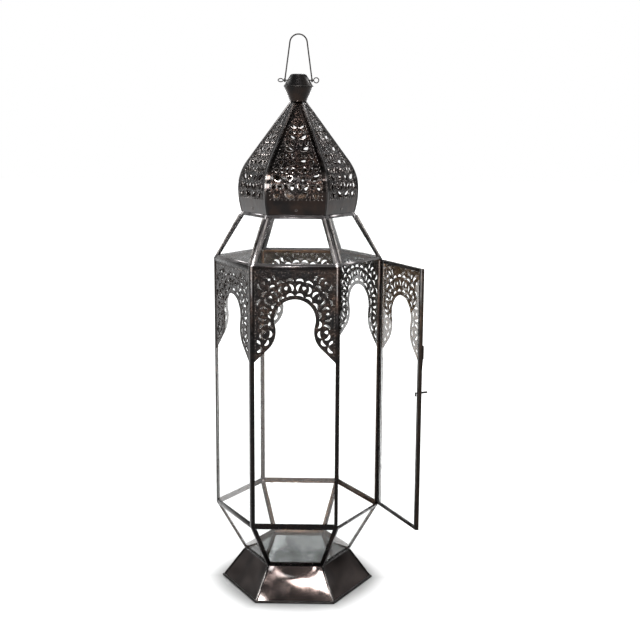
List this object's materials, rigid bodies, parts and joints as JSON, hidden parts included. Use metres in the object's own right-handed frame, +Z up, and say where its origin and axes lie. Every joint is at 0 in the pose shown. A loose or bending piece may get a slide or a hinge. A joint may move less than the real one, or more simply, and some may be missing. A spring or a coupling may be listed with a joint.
{
  "type": "moroccan metal lantern",
  "caption": "Tall six-sided glazed metal lantern with pierced arch valances, an onion dome, a hinged door with a turn catch, a flared foot and a wire bail.",
  "frame": {"origin": "on the lantern's vertical axis, at the surface that it stands on", "axes": "+Z up; -Y out of the front face; +X towards the door's hinge corner"},
  "size_m": [0.2751, 0.1972, 0.7244],
  "materials": {
    "came_metal": "dark antique bronze, satin gloss",
    "pierced_metal": "dark antique bronze with brown oxide, glossy",
    "foot_metal": "polished dark bronze lacquer",
    "bright_metal": "worn dark steel",
    "tin_plate": "bright tin",
    "clear_glass": "clear"
  },
  "bodies": {
    "lantern": {"base_panel_1": "foot_metal", "base_panel_2": "foot_metal", "base_panel_3": "foot_metal", "base_panel_4": "foot_metal", "base_panel_5": "foot_metal", "base_panel_6": "foot_metal", "base_seams": "foot_metal", "base_hem": "foot_metal", "floor_plate": "tin_plate", "lower_base_rails": "came_metal", "lower_top_rails": "came_metal", "lower_ribs": "came_metal", "lower_glass": "clear_glass", "post_1": "came_metal", "post_2": "came_metal", "post_3": "came_metal", "post_4": "came_metal", "post_5": "came_metal", "post_6": "came_metal", "body_bottom_rails": "came_metal", "body_top_rails": "came_metal", "body_glass_1": "clear_glass", "body_glass_2": "clear_glass", "body_glass_3": "clear_glass", "body_glass_4": "clear_glass", "body_glass_5": "clear_glass", "valance_1": "pierced_metal", "valance_2": "pierced_metal", "valance_3": "pierced_metal", "valance_4": "pierced_metal", "valance_5": "pierced_metal", "shoulder_base_rails": "came_metal", "shoulder_top_rails": "came_metal", "shoulder_ribs": "bright_metal", "shoulder_glass": "clear_glass", "dome_ring": "pierced_metal", "dome_panel_1": "pierced_metal", "dome_panel_2": "pierced_metal", "dome_panel_3": "pierced_metal", "dome_panel_4": "pierced_metal", "dome_panel_5": "pierced_metal", "dome_panel_6": "pierced_metal", "dome_ribs": "pierced_metal", "dome_rivets": "pierced_metal", "finial_cup": "came_metal", "finial_cap": "came_metal", "handle_pin": "bright_metal", "hinge_post_leaves": "bright_metal", "hinge_pins": "bright_metal"},
    "door": {"door_hinge_leaves": "bright_metal", "door_hinge_stile": "came_metal", "door_latch_stile": "came_metal", "door_top_rail": "came_metal", "door_bottom_rail": "came_metal", "door_glass": "clear_glass", "door_valance": "pierced_metal", "door_pull": "came_metal"},
    "catch": {"turn_catch": "bright_metal"},
    "bail": {"bail": "bright_metal"}
  },
  "joints": [
    {"name": "door_swing", "type": "hinge", "parent": "lantern", "child": "door", "pos_m": [0.1125, 0, 0.273], "axis": [0, 0, 1], "range_deg": [-55, 95]},
    {"name": "catch_turn", "type": "hinge", "parent": "door", "child": "catch", "pos_m": [0.15565, -0.09766, 0.2845], "axis": [0.9063, 0.4226, 0], "range_deg": [-90, 0]},
    {"name": "bail_swing", "type": "hinge", "parent": "lantern", "child": "bail", "pos_m": [0, 0, 0.6666], "axis": [1, 0, 0], "range_deg": [-90, 90]}
  ]
}
